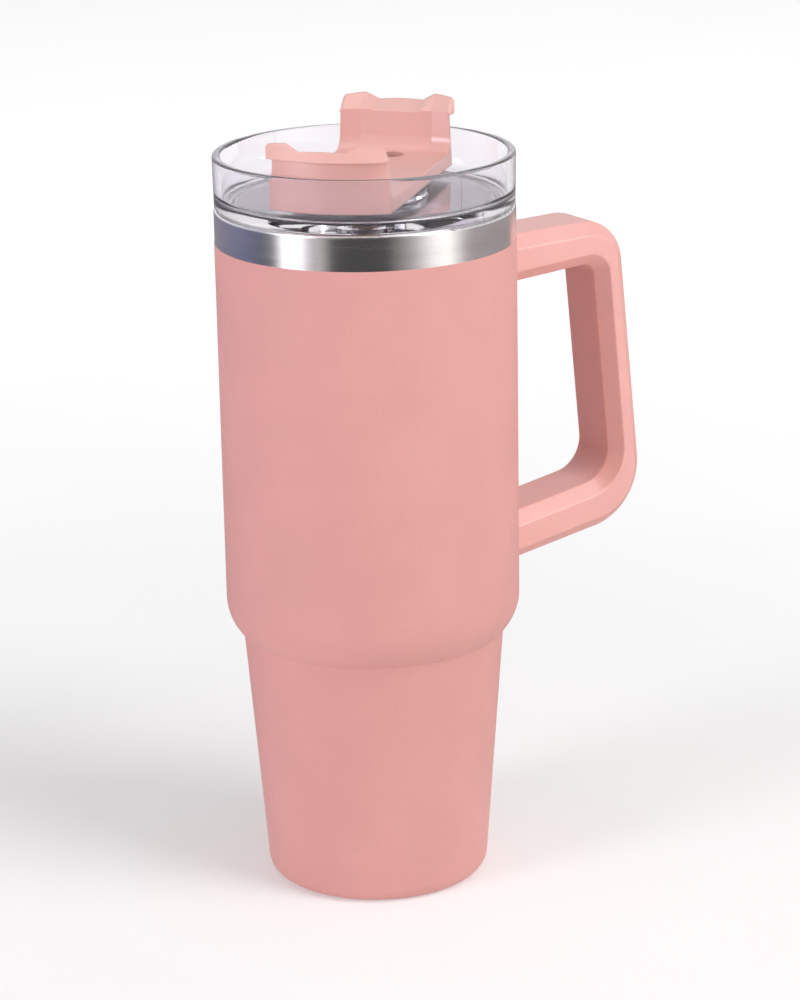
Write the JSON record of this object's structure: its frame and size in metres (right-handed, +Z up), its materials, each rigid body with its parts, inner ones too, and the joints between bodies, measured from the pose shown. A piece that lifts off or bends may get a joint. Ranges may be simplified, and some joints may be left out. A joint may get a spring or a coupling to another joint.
{
  "type": "insulated tumbler",
  "caption": "Double-walled tumbler with a tapered foot, a side handle and a clear push-in lid that carries a rotating cover with a straw hole.",
  "frame": {"origin": "centre of the base, on the cup's axis, at the height of the surface it stands on", "axes": "+Z up along the cup's axis, +X towards the handle, +Y to complete a right-handed frame"},
  "size_m": [0.1549, 0.1, 0.2631],
  "materials": {
    "stainless_steel": "brushed around the cup's axis",
    "powder_coat": "fine matte powder texture",
    "pink_plastic": "satin moulded plastic",
    "clear_plastic": "clear polished plastic",
    "silicone": "satin silicone",
    "getter_alloy": "sintered, matte",
    "sealing_glass": "fused bead"
  },
  "bodies": {
    "cup": {"outer_shell": "stainless_steel", "powder_coat": "powder_coat", "inner_liner": "stainless_steel", "base_disc": "stainless_steel", "vacuum_seal": "sealing_glass", "base_cover": "stainless_steel", "getter_holder": "stainless_steel", "getter": "getter_alloy", "handle": "pink_plastic", "upper_bracket": "stainless_steel", "lower_bracket": "stainless_steel", "handle_screws": "stainless_steel", "screw_plugs": "pink_plastic"},
    "lid": {"lid": "clear_plastic", "lid_gasket": "silicone", "pivot_ring": "silicone"},
    "cover": {"rotating_cover": "pink_plastic", "cover_seal": "silicone", "retaining_washer": "stainless_steel", "pivot_screw": "stainless_steel"}
  },
  "joints": [
    {"name": "lid_lift", "type": "slide", "parent": "cup", "child": "lid", "axis": [0, 0, 1], "range_m": [0, 0.06]},
    {"name": "cover_turn", "type": "hinge", "parent": "lid", "child": "cover", "pos_m": [0, 0, 0.2403], "axis": [0, 0, 1], "range_deg": [0, 180]}
  ]
}
